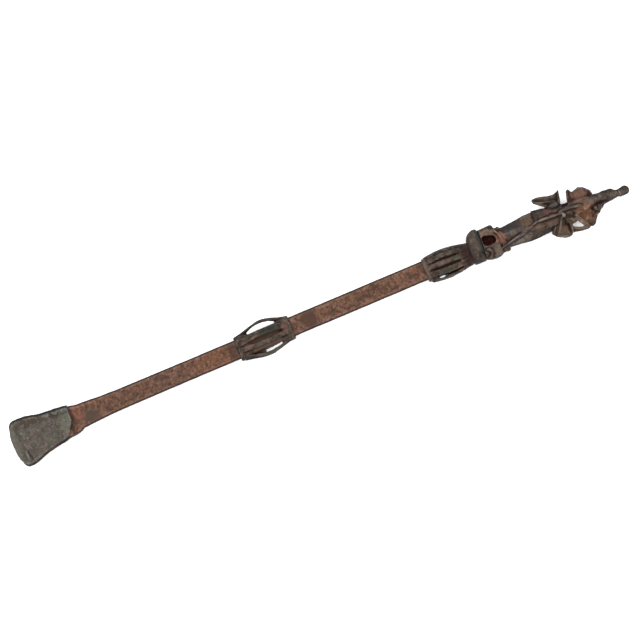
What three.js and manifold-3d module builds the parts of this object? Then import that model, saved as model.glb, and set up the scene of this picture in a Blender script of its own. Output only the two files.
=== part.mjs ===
// A hand-forged iron ceremonial staff, lying on a table, in millimetres with +Z up.
// +X runs from the spade-shaped foot to the knobbed tip, and +Y to the staff's left as seen from the foot.
// A flat bar carries two cages of bowed straps. Its lower end sits in the socket of the foot.
// Its upper end, a narrower tang, sits in the head, and a thick off-centre collar covers that joint.
import * as THREE from "three";
import { mergeVertices } from "three/addons/utils/BufferGeometryUtils.js";
import Module from "manifold-3d";

const wasm = await Module();
wasm.setup();

// Gap left between two pieces that touch
const FIT_GAP = 0.3;

// Shaft: a flat bar, a little wider where it enters the foot
const SHAFT_WIDTH = 18.1;
const SHAFT_THICKNESS = 11;
const SHAFT_EDGE_RADIUS = 1.8;
const SHAFT_WIDTH_AT_FOOT = 26.4;
const SHAFT_SHIFT_AT_FOOT = -0.55;
const LOWER_SHAFT_LENGTH = 161;
const UPPER_SHAFT_LENGTH = 129.6;
const SEAT_DEPTH = 0.25;

// Lower tang, a wedge in the foot's socket
const LOWER_TANG_LENGTH = 26;
const LOWER_TANG_SHOULDER = 10.5;
const LOWER_TANG_END_WIDTH = 16;
const LOWER_TANG_END_THICKNESS = 5;

// Upper tang, set a little to the staff's right, in the collar and the head
const UPPER_TANG_WIDTH = 14;
const UPPER_TANG_THICKNESS = 8;
const UPPER_TANG_SHOULDER = 14;
const HEAD_OFFSET = -1.7;

// Foot
const FOOT_LENGTH = 59;
const FOOT_WIDTH = 44.4;
const FOOT_SKEW = -2.2;
const FOOT_EDGE_THICKNESS = 5.2;
const FOOT_MOUTH_WALL = 0.8;
const FOOT_MOUTH_SLANT = 8;

// Cages: straps bowed out between two collars that grip the bar, worn flat where the staff rests on them.
// A strap's row is its angle from +Y towards +Z and its width, at its start and end where they differ.
const STRAP_THICKNESS = 2.3;
const STRAP_CORNER = 0.8;
const CAGE_COLLAR_WALL = 2.4;
const REST_DEPTH = 11.25;
const MIDDLE_CAGE_LENGTH = 53.2;
const MIDDLE_CAGE_WIDTH = 33.2;
const MIDDLE_CAGE_DEPTH = 24.4;
const MIDDLE_COLLAR_LENGTH = 6.8;
const MIDDLE_THROAT_LENGTH = 6.4;
const MIDDLE_STRAPS = [
  [0, 5, 5],
  [66, 7, 6.2],
  [102, 5, 5],
  [157, 7.6, 3.6],
  [240, 5.4, 5.2],
  [292, 5.6, 5.6],
];
const MIDDLE_PINCH = 1.45;
const UPPER_CAGE_LENGTH = 50.1;
const UPPER_CAGE_WIDTH = 27.8;
const UPPER_CAGE_DEPTH = 22.6;
const UPPER_CAGE_SHIFT = -0.6;
const UPPER_COLLAR_LENGTH = 5.4;
const UPPER_THROAT_LENGTH = 3.4;
const UPPER_NECK_WIDTH = 20.2;
const UPPER_NECK_THICKNESS = 14.6;
const UPPER_NECK_CORNER = 5;
const NECK_GROOVE = 1.6;
const UPPER_STRAPS = [
  [20, 5],
  [53, 5.2],
  [84, 5.4],
  [119, 6.2],
  [162, 4.4],
  [197, 5],
  [230, 5.2],
  [258, 5],
  [288, 5.2],
  [322, 5.2],
];
const UPPER_PEAK = 0.82;
const UPPER_PINCH = 1.12;

// Off-centre collar over the joint of upper cage and head
const COLLAR_LENGTH = 13.5;
const COLLAR_OVERLAP = 6;
const COLLAR_LEFT_REACH = 17.5;
const COLLAR_RIGHT_REACH = 13.8;
const COLLAR_THICKNESS = 20.4;
const COLLAR_TAPER = 2.2;
const COLLAR_BEAD_RADIUS = 2.3;

// Head: the housing with its window, then the trunk with everything that grows from it
const HOUSING_LENGTH = 14;
const HOUSING_WIDTH = 31;
const HOUSING_THICKNESS = 19.6;
const WINDOW_LENGTH = 12;
const WINDOW_WIDTH = 8.8;
const WINDOW_DEPTH = 13;
const WINDOW_INSET = -0.1;
const WINDOW_SKEW = 0.13;
const WINDOW_SHIFT = 2.8;
const WINDOW_TAPER = 0.22;
const TRUNK_TWIST_PER_MM = 1.02;
const TRUNK_TWIST_START = -26;
const PAD_CUT_ANGLE = 23;
const PETAL_WALL = 2.2;
const PETAL_THINNING = 0.35;

// How finely round forms are divided
const ROUND_SIDES = 20;
const ROD_SIDES = 6;
const STRAP_STATIONS = 8;
const PETAL_STEPS_OUT = 7;
const PETAL_STEPS_ACROSS = 12;
const TRUNK_STEP = 4.5;
const SURFACE_TOLERANCE = 0.08;

// Stations along the staff, counted from the foot's edge
const FOOT_MOUTH = FOOT_LENGTH;
const MIDDLE_CAGE_START = FOOT_MOUTH + LOWER_SHAFT_LENGTH;
const MIDDLE_CAGE_END = MIDDLE_CAGE_START + MIDDLE_CAGE_LENGTH;
const UPPER_CAGE_START = MIDDLE_CAGE_END + UPPER_SHAFT_LENGTH;
const UPPER_CAGE_END = UPPER_CAGE_START + UPPER_CAGE_LENGTH;
const COLLAR_START = UPPER_CAGE_END - COLLAR_OVERLAP;
const COLLAR_END = COLLAR_START + COLLAR_LENGTH;
const HEAD_START = COLLAR_END + FIT_GAP;
const SLEEVE_START = UPPER_CAGE_END + FIT_GAP;
const SHOULDER_END = COLLAR_START - UPPER_COLLAR_LENGTH;
const SHOULDER_START = SHOULDER_END - UPPER_TANG_SHOULDER;
const TANG_END = HEAD_START - FIT_GAP;

const radians = THREE.MathUtils.degToRad;

// Ring of points across the staff: a rectangle with rounded corners, counter-clockwise about +X.
// Arcs divide each corner, spans the long sides between corners.
function barRing({ x, y = 0, halfWidth, halfThick, corner, arcs = 3, spans = 1 }) {
  const round = Math.min(corner, halfWidth * 0.98, halfThick * 0.98);
  const ring = [];
  for (let quarter = 0; quarter < 4; quarter++) {
    const acrossSign = quarter === 0 || quarter === 3 ? 1 : -1;
    const upSign = quarter < 2 ? 1 : -1;
    const centre = new THREE.Vector3(x, y + acrossSign * (halfWidth - round), upSign * (halfThick - round));
    for (let step = 0; step <= arcs; step++) {
      const angle = ((quarter + step / arcs) * Math.PI) / 2;
      ring.push(centre.clone().add(new THREE.Vector3(0, round * Math.cos(angle), round * Math.sin(angle))));
    }
    const longSide = quarter % 2 === 0 ? spans : 1;
    const last = ring.at(-1);
    for (let step = 1; step < longSide; step++) {
      ring.push(last.clone().setY(THREE.MathUtils.lerp(last.y, 2 * y - last.y, step / longSide)));
    }
  }
  return ring;
}

// Ring of points across the staff: a superellipse, from an oval at power 2 to a soft square at 6.
// It is turned by a twist and then stretched to its half width and half thickness.
// Lean moves each point along the staff by an amount that depends on its y.
function ovalRing({ x, y = 0, halfWidth, halfThick, power = 2, twist = 0, lean, sides = ROUND_SIDES }) {
  const unit = Array.from({ length: sides }, (_, i) => {
    const angle = (i / sides) * 2 * Math.PI;
    const c = Math.cos(angle - radians(twist));
    const s = Math.sin(angle - radians(twist));
    const reach = (Math.abs(c) ** power + Math.abs(s) ** power) ** (-1 / power);
    return [reach * Math.cos(angle), reach * Math.sin(angle)];
  });
  const widest = Math.max(...unit.map(([across]) => Math.abs(across)));
  const highest = Math.max(...unit.map(([, up]) => Math.abs(up)));
  return unit.map(([across, up]) => {
    const sideways = y + (halfWidth * across) / widest;
    return new THREE.Vector3(x + (lean ? lean(sideways) : 0), sideways, (halfThick * up) / highest);
  });
}

// Closed skin over rings that follow each other: a cylinder whose vertices are moved onto the rings.
function skin(rings) {
  const sides = rings[0].length;
  const grid = new THREE.CylinderGeometry(1, 1, 1, sides, rings.length - 1);
  const centres = rings.map((ring) =>
    ring.reduce((sum, point) => sum.add(point), new THREE.Vector3()).divideScalar(sides),
  );
  const position = grid.getAttribute("position");
  for (let i = 0; i < position.count; i++) {
    const [across, along, toward] = [position.getX(i), position.getY(i), position.getZ(i)];
    const which = Math.round((along + 0.5) * (rings.length - 1));
    const turn = Math.round((Math.atan2(across, toward) / (2 * Math.PI)) * sides);
    const onRing = Math.hypot(across, toward) > 0.5;
    const target = onRing ? rings[which][(turn + sides) % sides] : centres[which];
    position.setXYZ(i, target.x, target.y, target.z);
  }
  return solid(grid);
}

// Turns a closed three.js geometry into a solid that can be joined and cut.
function solid(geometry) {
  const bare = geometry.clone();
  bare.deleteAttribute("normal");
  bare.deleteAttribute("uv");
  const merged = mergeVertices(bare);
  return new wasm.Manifold(
    new wasm.Mesh({
      numProp: 3,
      vertProperties: merged.getAttribute("position").array,
      triVerts: new Uint32Array(merged.index.array),
    }),
  );
}

const fuse = (pieces) => pieces.reduce((joined, piece) => joined.add(piece));

// Smooth table lookup: rows of [x, value, value ...] give the values at any x between them.
function smoothTable(rows) {
  const width = rows[0].length - 1;
  const table = new THREE.CubicInterpolant(
    rows.map(([x]) => x),
    rows.flatMap((row) => row.slice(1)),
    width,
  );
  return (x) => Array.from(table.evaluate(THREE.MathUtils.clamp(x, rows[0][0], rows.at(-1)[0])));
}

// Round rod along a smooth path, its radius eased down at both ends.
function rod(points, radius, stations = 10) {
  const path = new THREE.CatmullRomCurve3(points.map((point) => new THREE.Vector3(...point)));
  const { normals, binormals } = path.computeFrenetFrames(stations, false);
  const rings = normals.map((normal, i) => {
    const t = i / stations;
    const reach = radius * Math.min(1, 0.45 + 5 * Math.min(t, 1 - t));
    return Array.from({ length: ROD_SIDES }, (_, side) => {
      const angle = (side / ROD_SIDES) * 2 * Math.PI;
      return path
        .getPointAt(t)
        .addScaledVector(normal, reach * Math.cos(angle))
        .addScaledVector(binormals[i], reach * Math.sin(angle));
    });
  });
  return skin(rings);
}

// How the bar's flare towards the foot fades: distance past the foot's mouth, share of the flare,
// share of the shift to the staff's right.
const FLARE_ROWS = [
  [0, 1, 1],
  [3.2, 0.88, 1.15],
  [5.4, 0.66, 0.7],
  [7.4, 0.53, 0.2],
  [14, 0.45, 0],
  [21, 0.33, 0],
  [30, 0.19, 0],
  [46, 0.08, 0],
  [75, 0.03, 0],
  [110, 0, 0],
];

// Wedge-shaped lower tang, from its end to the foot's mouth; grow makes the socket that takes it.
function lowerTangRings(grow) {
  const ends = [
    [LOWER_TANG_LENGTH + grow, LOWER_TANG_END_WIDTH, LOWER_TANG_END_THICKNESS],
    [LOWER_TANG_SHOULDER, SHAFT_WIDTH_AT_FOOT + FIT_GAP, SHAFT_THICKNESS * 0.92],
    [0, SHAFT_WIDTH_AT_FOOT, SHAFT_THICKNESS],
  ];
  return ends.map(([inside, width, thickness]) =>
    barRing({
      x: FOOT_MOUTH - inside,
      y: SHAFT_SHIFT_AT_FOOT,
      halfWidth: width / 2 + grow,
      halfThick: thickness / 2 + grow,
      corner: SHAFT_EDGE_RADIUS + grow,
    }),
  );
}

// Upper end of the bar, from its seat in the upper cage to the end of its tang on the head's own axis.
// Grow makes the bore that takes it.
function upperEndRings(grow) {
  const seat = (x) =>
    barRing({
      x,
      halfWidth: SHAFT_WIDTH / 2 + grow,
      halfThick: SHAFT_THICKNESS / 2 - SEAT_DEPTH + grow,
      corner: SHAFT_EDGE_RADIUS + grow,
    });
  const tang = (x) =>
    barRing({
      x,
      y: HEAD_OFFSET,
      halfWidth: UPPER_TANG_WIDTH / 2 + grow,
      halfThick: UPPER_TANG_THICKNESS / 2 + grow,
      corner: SHAFT_EDGE_RADIUS + grow,
    });
  return [seat(UPPER_CAGE_START - grow), seat(SHOULDER_START), tang(SHOULDER_END), tang(TANG_END + grow)];
}

// Bar in one piece: wedge, flared lower stretch, two filed seats under the middle collars, upper tang.
function makeShaft() {
  const ring = (x, seat = 0, flare = 0, shift = 0) =>
    barRing({
      x,
      y: shift * SHAFT_SHIFT_AT_FOOT,
      halfWidth: THREE.MathUtils.lerp(SHAFT_WIDTH, SHAFT_WIDTH_AT_FOOT, flare) / 2,
      halfThick: SHAFT_THICKNESS / 2 - seat,
      corner: SHAFT_EDGE_RADIUS,
    });
  const flareSteps = FLARE_ROWS.slice(1).map(([past, flare, shift]) => ring(FOOT_MOUTH + past, 0, flare, shift));
  const seatEdge = 1;
  return skin([
    ...lowerTangRings(0),
    ...flareSteps,
    ring(MIDDLE_CAGE_START - seatEdge),
    ring(MIDDLE_CAGE_START, SEAT_DEPTH),
    ring(MIDDLE_CAGE_END, SEAT_DEPTH),
    ring(MIDDLE_CAGE_END + seatEdge),
    ring(UPPER_CAGE_START - seatEdge),
    ...upperEndRings(0),
  ]);
}

// Spade-shaped foot: a blade with a bowed edge that closes to a socket round the lower tang.
// The socket's rim slants back towards the edge on the staff's right.
function makeFoot() {
  const widest = FOOT_WIDTH / 2;
  const mouthWidth = SHAFT_WIDTH_AT_FOOT / 2 + FIT_GAP + FOOT_MOUTH_WALL;
  const mouthThick = SHAFT_THICKNESS / 2 + FIT_GAP + FOOT_MOUTH_WALL;
  const edgeThick = FOOT_EDGE_THICKNESS / 2;
  // share of the length, share of the half width, share of the skew, share of the thickening, bow, slant
  const rows = [
    [0, 0.83, 1, -0.36, 4.6, 0],
    [0.015, 0.94, 1, -0.12, 5, 0],
    [0.055, 0.99, 1, 0.02, 4.6, 0],
    [0.15, 1, 1, 0.1, 3.4, 0],
    [0.29, 0.965, 0.7, 0.22, 1.4, 0],
    [0.43, 0.87, 0.4, 0.38, 0.4, 0],
    [0.57, 0.785, 0.36, 0.56, 0, 0],
    [0.71, 0.735, 0.3, 0.76, 0, 0],
    [0.8, 0.725, 0.22, 0.88, 0, 0.3],
    [0.89, 0.69, 0.25, 0.98, 0, 0.62],
    [1, 0, 0.25, 1, 0, 1],
  ];
  const rings = rows.map(([share, width, skew, thickShare, bow, slant]) => {
    const shift = skew * FOOT_SKEW;
    const halfThick = edgeThick + (mouthThick - edgeThick) * thickShare;
    const halfWidth = Math.max(widest * width, mouthWidth);
    const corner = Math.min(halfThick, SHAFT_EDGE_RADIUS + FIT_GAP + FOOT_MOUTH_WALL);
    const x = share * FOOT_LENGTH;
    const ring = barRing({ x, y: shift, halfWidth, halfThick, corner, arcs: 4, spans: 4 });
    ring.forEach((point) => {
      point.x += bow * ((point.y - shift) / widest) ** 2;
      point.x -= slant * FOOT_MOUTH_SLANT * THREE.MathUtils.smoothstep(-point.y, 0, mouthWidth);
    });
    return ring;
  });
  const socket = lowerTangRings(FIT_GAP);
  const past = socket.at(-1).map((point) => point.clone().setX(point.x + 1));
  return skin(rings).subtract(skin([...socket, past]));
}

// Strap bowed from one collar to the other. The angle is counted from +Y towards +Z.
// Peak below one moves the widest place towards the start; pinch above one draws both ends in.
function strap({ angle, start, end, from, out, to, shiftFrom = 0, shiftTo = 0, widths, peak = 1, pinch = 1 }) {
  const direction = radians(angle);
  const rings = [];
  for (let i = 0; i < STRAP_STATIONS; i++) {
    const t = i / (STRAP_STATIONS - 1);
    const section = barRing({
      x: 0,
      halfWidth: STRAP_THICKNESS / 2,
      halfThick: THREE.MathUtils.lerp(widths[0], widths[1], t) / 2,
      corner: STRAP_CORNER,
      arcs: 1,
    });
    const bow = Math.max(0, Math.sin(Math.PI * t ** peak)) ** pinch;
    const [wide, high] = [0, 1].map((axis) => {
      const straight = THREE.MathUtils.lerp(from[axis], to[axis], t);
      return THREE.MathUtils.lerp(straight, out[axis], bow);
    });
    const middle = new THREE.Vector2(wide * Math.cos(direction), high * Math.sin(direction));
    const across = new THREE.Vector2(-wide * Math.sin(direction), high * Math.cos(direction)).normalize();
    const outward = new THREE.Vector2(across.y, -across.x);
    rings.push(
      section.map((point) => {
        const spot = middle.clone().addScaledVector(outward, point.y).addScaledVector(across, point.z);
        const shift = THREE.MathUtils.lerp(shiftFrom, shiftTo, t);
        return new THREE.Vector3(THREE.MathUtils.lerp(start, end, t), spot.x + shift, spot.y);
      }),
    );
  }
  return skin(rings);
}

// Collar as a bead round the bar, thicker in the middle of its length.
function beadRings({ start, length, y = 0, halfWidth, halfThick, power = 3 }) {
  const rows = [
    [0, -0.9],
    [0.14, -0.15],
    [0.45, 0],
    [0.8, -0.25],
    [1, -0.9],
  ];
  return rows.map(([share, drop]) =>
    ovalRing({
      x: start + share * length,
      y,
      halfWidth: halfWidth + drop,
      halfThick: halfThick + drop,
      power,
    }),
  );
}

// Slab below the plane that the staff rests on, which wears both cages flat there.
const belowRest = () => solid(new THREE.BoxGeometry(1500, 100, 20).translate(0, 0, -REST_DEPTH - 10));

// Cage round the bar between the two shaft stretches.
function makeMiddleCage() {
  const boreWidth = SHAFT_WIDTH / 2 + FIT_GAP;
  const boreThick = SHAFT_THICKNESS / 2 - SEAT_DEPTH + FIT_GAP;
  const wall = { halfWidth: boreWidth + CAGE_COLLAR_WALL, halfThick: boreThick + CAGE_COLLAR_WALL };
  const wallMiddle = [boreWidth + CAGE_COLLAR_WALL / 2, boreThick + CAGE_COLLAR_WALL / 2];
  const out = [(MIDDLE_CAGE_WIDTH - STRAP_THICKNESS) / 2, (MIDDLE_CAGE_DEPTH - STRAP_THICKNESS) / 2];
  const straps = MIDDLE_STRAPS.map(([angle, ...widths]) =>
    strap({
      angle,
      start: MIDDLE_CAGE_START + MIDDLE_COLLAR_LENGTH / 2,
      end: MIDDLE_CAGE_END - MIDDLE_COLLAR_LENGTH / 2,
      from: wallMiddle,
      out,
      to: wallMiddle,
      widths,
      pinch: MIDDLE_PINCH,
    }),
  );
  const bead = (start) => skin(beadRings({ ...wall, start, length: MIDDLE_COLLAR_LENGTH }));
  const throat = (x, toward) => {
    const reach = MIDDLE_COLLAR_LENGTH + MIDDLE_THROAT_LENGTH;
    const rows = [
      [MIDDLE_COLLAR_LENGTH / 2, -0.5],
      [MIDDLE_COLLAR_LENGTH, -0.4],
      [reach, -1.3],
    ];
    const rings = rows.map(([along, grow]) =>
      ovalRing({
        x: x + toward * along,
        halfWidth: wall.halfWidth + grow,
        halfThick: wall.halfThick + grow,
        power: 3.2,
      }),
    );
    return skin(toward > 0 ? rings : rings.reverse());
  };
  const bore = skin(
    [MIDDLE_CAGE_START - 1, MIDDLE_CAGE_END + 1].map((x) =>
      barRing({ x, halfWidth: boreWidth, halfThick: boreThick, corner: SHAFT_EDGE_RADIUS + FIT_GAP }),
    ),
  );
  return fuse([
    bead(MIDDLE_CAGE_START),
    bead(MIDDLE_CAGE_END - MIDDLE_COLLAR_LENGTH),
    throat(MIDDLE_CAGE_START, 1),
    throat(MIDDLE_CAGE_END, -1),
    ...straps,
  ])
    .subtract(bore)
    .subtract(belowRest());
}

// Cage whose straps close to a neck on the tang, under the off-centre collar.
function makeUpperCage() {
  const wallWidth = SHAFT_WIDTH / 2 + FIT_GAP + CAGE_COLLAR_WALL;
  const wallThick = SHAFT_THICKNESS / 2 - SEAT_DEPTH + FIT_GAP + CAGE_COLLAR_WALL;
  const neckWidth = UPPER_NECK_WIDTH / 2;
  const neckThick = UPPER_NECK_THICKNESS / 2;
  const strapEnd = COLLAR_START - NECK_GROOVE;
  const sink = STRAP_THICKNESS / 2;
  const straps = UPPER_STRAPS.map(([angle, width]) =>
    strap({
      angle,
      start: UPPER_CAGE_START + UPPER_COLLAR_LENGTH / 2,
      end: strapEnd,
      from: [wallWidth - CAGE_COLLAR_WALL / 2, wallThick - CAGE_COLLAR_WALL / 2],
      out: [UPPER_CAGE_WIDTH / 2 - sink, UPPER_CAGE_DEPTH / 2 - sink],
      to: [neckWidth - sink + 0.4, neckThick - sink + 0.4],
      shiftFrom: UPPER_CAGE_SHIFT,
      shiftTo: HEAD_OFFSET,
      widths: [width, width],
      peak: UPPER_PEAK,
      pinch: UPPER_PINCH,
    }),
  );
  const collar = skin(
    beadRings({
      start: UPPER_CAGE_START,
      length: UPPER_COLLAR_LENGTH,
      y: UPPER_CAGE_SHIFT,
      halfWidth: wallWidth - 0.6,
      halfThick: wallThick,
    }),
  );
  const throatEnd = UPPER_CAGE_START + UPPER_COLLAR_LENGTH + UPPER_THROAT_LENGTH;
  const throat = (y, rows) => {
    const rings = rows.map(([x, halfWidth, halfThick, power]) => {
      return ovalRing({ x, y, halfWidth, halfThick, power });
    });
    return skin(rings);
  };
  const lowerThroat = throat(UPPER_CAGE_SHIFT, [
    [throatEnd - 6, wallWidth - 1, wallThick - 1, 3],
    [throatEnd, wallWidth, wallThick + 0.4, 2.6],
  ]);
  const upperThroat = throat(HEAD_OFFSET, [
    [strapEnd - 8, neckWidth + 1.4, neckThick + 1.4, 2.8],
    [strapEnd, neckWidth - 0.4, neckThick - 0.4, 3],
  ]);
  const neck = skin(
    [strapEnd - 4, UPPER_CAGE_END].map((x) =>
      barRing({ x, y: HEAD_OFFSET, halfWidth: neckWidth, halfThick: neckThick, corner: UPPER_NECK_CORNER }),
    ),
  );
  return fuse([collar, lowerThroat, upperThroat, neck, ...straps])
    .subtract(skin(upperEndRings(FIT_GAP)))
    .subtract(belowRest());
}

// The collar is shorter on the staff's right: how far its upper edge falls back there.
const collarTaper = (y) => {
  const fromLeft = (COLLAR_LEFT_REACH - y) / (COLLAR_LEFT_REACH + COLLAR_RIGHT_REACH);
  return -COLLAR_TAPER * fromLeft;
};

// Thick collar whose outer edge stands out further on the staff's left.
// One small bead sits on its upper side.
function makeCollar() {
  const rows = [
    [0, 0.05, 0.3, 0.3],
    [0.12, 0.45, 0.7, 0.7],
    [0.35, 0.8, 0.95, 0.95],
    [0.68, 1, 1, 1],
    [0.9, 0.92, 0.97, 0.97],
    [1, 0.66, 0.82, 0.75],
  ];
  const boreWidth = UPPER_NECK_WIDTH / 2 + FIT_GAP;
  const boreThick = UPPER_NECK_THICKNESS / 2 + FIT_GAP;
  const leastWall = 0.6;
  const grow = (least, most, share) => least + leastWall + (most - least - leastWall) * share;
  const rings = rows.map(([share, left, right, thick]) => {
    const leftEdge = HEAD_OFFSET + grow(boreWidth, COLLAR_LEFT_REACH - HEAD_OFFSET, left);
    const rightEdge = HEAD_OFFSET - grow(boreWidth, COLLAR_RIGHT_REACH + HEAD_OFFSET, right);
    return ovalRing({
      x: COLLAR_START + share * COLLAR_LENGTH,
      y: (leftEdge + rightEdge) / 2,
      halfWidth: (leftEdge - rightEdge) / 2,
      halfThick: grow(boreThick, COLLAR_THICKNESS / 2, thick),
      power: 2.6,
      lean: (y) => share * collarTaper(y),
      sides: 28,
    });
  });
  const beadY = -COLLAR_RIGHT_REACH / 2;
  const bead = new THREE.SphereGeometry(COLLAR_BEAD_RADIUS, 12, 8).translate(
    COLLAR_END + collarTaper(beadY) - COLLAR_BEAD_RADIUS,
    beadY,
    COLLAR_THICKNESS / 2 - COLLAR_BEAD_RADIUS / 2,
  );
  const corner = UPPER_NECK_CORNER + FIT_GAP;
  const bore = skin(
    [COLLAR_START - 1, COLLAR_END + 1].map((x) =>
      barRing({ x, y: HEAD_OFFSET, halfWidth: boreWidth, halfThick: boreThick, corner }),
    ),
  );
  return skin(rings).add(solid(bead)).subtract(bore);
}

// The trunk of the head, from the housing's upper end: [x, right edge, left edge, half thickness]
const TRUNK_ROWS = [
  [-4, -13, 11.3, 9.2],
  [0, -13.1, 11.3, 9.2],
  [2.7, -13.2, 11, 9.4],
  [4.5, -12.4, 9.7, 8.9],
  [6.3, -11.3, 9.1, 8.6],
  [9, -11.1, 9.4, 8.7],
  [18, -12, 10.1, 9.3],
  [28.8, -13.3, 11.5, 9.9],
  [40.5, -12.8, 10.8, 9.6],
  [49.5, -12.2, 9.9, 9],
  [63, -9.8, 7.4, 7.6],
  [73.8, -9.6, 6.5, 6.8],
  [85.5, -7.2, 5.6, 6.2],
  [94, -5.2, 4.5, 5.6],
  [101, -5.4, 3.9, 5.4],
  [107.5, -7.6, 3.8, 5.2],
  [110.7, -6.7, 3, 4.6],
  [113.4, -6.2, 0.8, 3.8],
  [116.1, -6.9, -0.1, 3.9],
  [119.7, -7.7, 0.7, 4.3],
  [123.6, -7.5, 0.2, 4],
  [125.6, -6, -1.3, 2.6],
  [126.4, -4.6, -2.7, 1],
];
const trunkTable = smoothTable(TRUNK_ROWS);
const TRUNK_LENGTH = TRUNK_ROWS.at(-1)[0];

// Ring of the trunk at a distance from the housing's lower end; its soft square section turns as it rises.
function trunkRing(x, grow = 0) {
  const past = x - HOUSING_LENGTH;
  const [right, left, halfThick] = trunkTable(past);
  return ovalRing({
    x,
    y: (left + right) / 2,
    halfWidth: (left - right) / 2 + grow,
    halfThick: halfThick + grow,
    power: THREE.MathUtils.lerp(5, 2.3, THREE.MathUtils.smoothstep(past, 40, 66)),
    twist: 45 + TRUNK_TWIST_START + TRUNK_TWIST_PER_MM * THREE.MathUtils.clamp(past, 0, 60),
  });
}

// Trunk with rings at every row of its table and at most a step apart between them.
function wholeTrunk() {
  const rings = TRUNK_ROWS.slice(1).flatMap(([x], i) => {
    const before = TRUNK_ROWS[i][0];
    const count = Math.ceil((x - before) / TRUNK_STEP);
    return Array.from({ length: count }, (_, k) => {
      const past = THREE.MathUtils.lerp(before, x, k / count);
      return trunkRing(HOUSING_LENGTH + past);
    });
  });
  return skin([...rings, trunkRing(HOUSING_LENGTH + TRUNK_LENGTH)]);
}

// Pad wrapped over the trunk's left side, thick at its lower end and fading towards the leaves.
function wrappedPad({ from, to, grow, stations = 5 }) {
  const band = Array.from({ length: stations }, (_, i) => {
    const t = i / (stations - 1);
    return trunkRing(THREE.MathUtils.lerp(from, to, t), grow * (1 - 0.85 * t));
  });
  const leftSide = new THREE.BoxGeometry(200, 40, 60).translate(0, 20, 0).rotateX(radians(PAD_CUT_ANGLE));
  return skin(band).intersect(solid(leftSide.translate(from, 4.8, 0)));
}

// Height of the trunk's upper side at a spot in plan.
function trunkTop(x, y) {
  const ring = trunkRing(x);
  let height = 0;
  ring.forEach((a, i) => {
    const b = ring[(i + 1) % ring.length];
    if ((a.y - y) * (b.y - y) > 0 || a.y === b.y) return;
    height = Math.max(height, THREE.MathUtils.mapLinear(y, a.y, b.y, a.z, b.z));
  });
  return height;
}

// Housing: a short barrel with a window on its upper side, and the sleeve that enters the collar.
function makeHousing() {
  const half = HOUSING_WIDTH / 2;
  const rows = [
    [0, 0.86, 0.96, 0.86],
    [0.28, 0.96, 0.97, 0.97],
    [0.55, 1, 0.98, 1],
    [0.8, 0.97, 0.99, 0.99],
    [0.93, 0.9, 0.93, 0.94],
    [1, 0.84, 0.76, 0.9],
  ];
  const barrel = skin(
    rows.map(([share, right, left, thick]) =>
      ovalRing({
        x: share * HOUSING_LENGTH,
        y: (left - right) * 0.5 * half,
        halfWidth: (left + right) * 0.5 * half,
        halfThick: (thick * HOUSING_THICKNESS) / 2,
        power: 3.6,
        lean: (y) => collarTaper(y) * Math.max(0, 1 - 2 * share),
        sides: 24,
      }),
    ),
  );
  const sleeve = skin(
    [SLEEVE_START - HEAD_START, HOUSING_LENGTH / 2].map((x) =>
      barRing({
        x,
        y: HEAD_OFFSET,
        halfWidth: UPPER_NECK_WIDTH / 2,
        halfThick: UPPER_NECK_THICKNESS / 2,
        corner: UPPER_NECK_CORNER,
      }),
    ),
  );
  return barrel.add(sleeve);
}

// Hole that the window opens, a little wider at its upper edge and narrower towards the tip.
function windowHole() {
  const middle = WINDOW_INSET + WINDOW_LENGTH / 2;
  const outline = (z, spread) =>
    Array.from({ length: 12 }, (_, i) => {
      const angle = (i / 12) * 2 * Math.PI;
      const reach = (Math.abs(Math.cos(angle)) ** 5 + Math.abs(Math.sin(angle)) ** 5) ** (-1 / 5);
      const along = (WINDOW_LENGTH / 2) * spread * reach * Math.cos(angle);
      const narrowed = 1 - WINDOW_TAPER * reach * Math.cos(angle);
      const across = (WINDOW_WIDTH / 2) * spread * narrowed * reach * Math.sin(angle);
      return new THREE.Vector3(middle + along, WINDOW_SHIFT + across - WINDOW_SKEW * along, z);
    });
  const top = HOUSING_THICKNESS / 2;
  return skin([outline(top - WINDOW_DEPTH, 0.86), outline(top, 1), outline(top + 2, 1.08)]);
}

// Forged leaf: a fan-shaped sheet that rises and rolls in along both long edges.
// Its root is a line between two points and its mouth a curve, both in plan.
function petal({ root, mouth, rollFirst, rollLast, rootHeight, mouthHeight, rootDepth, mouthDepth }) {
  const rootLine = new THREE.LineCurve(new THREE.Vector2(...root[0]), new THREE.Vector2(...root[1]));
  const mouthLine = new THREE.SplineCurve(mouth.map((point) => new THREE.Vector2(...point)));
  const surface = (out, across) => {
    const side = 2 * across - 1;
    const roll = radians(side < 0 ? rollFirst : rollLast);
    const angle = side * roll;
    const share = 0.5 + 0.5 * Math.sin(angle);
    const rise = (1 - Math.cos(angle)) / (1 - Math.cos(roll));
    const spot = rootLine.getPoint(share).lerp(mouthLine.getPoint(share), out);
    const lift = THREE.MathUtils.lerp(rootHeight, mouthHeight, out);
    const depth = THREE.MathUtils.lerp(rootDepth, mouthDepth, out);
    return new THREE.Vector3(spot.x, spot.y, lift + depth * rise);
  };
  const slab = new THREE.BoxGeometry(1, 1, 1, PETAL_STEPS_OUT, 1, PETAL_STEPS_ACROSS);
  const position = slab.getAttribute("position");
  const tiny = 0.02;
  for (let i = 0; i < position.count; i++) {
    const out = position.getX(i) + 0.5;
    const across = position.getZ(i) + 0.5;
    const [inner, outer] = [Math.max(0, out - tiny), Math.min(1, out + tiny)];
    const [first, last] = [Math.max(0, across - tiny), Math.min(1, across + tiny)];
    const alongOut = surface(outer, across).sub(surface(inner, across));
    const alongAcross = surface(out, last).sub(surface(out, first));
    const normal = alongAcross.cross(alongOut).normalize();
    const halfWall = (PETAL_WALL / 2) * (1 - PETAL_THINNING * out);
    const point = surface(out, across).addScaledVector(normal, Math.sign(position.getY(i)) * halfWall);
    position.setXYZ(i, point.x, point.y, point.z);
  }
  return solid(slab);
}

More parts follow.
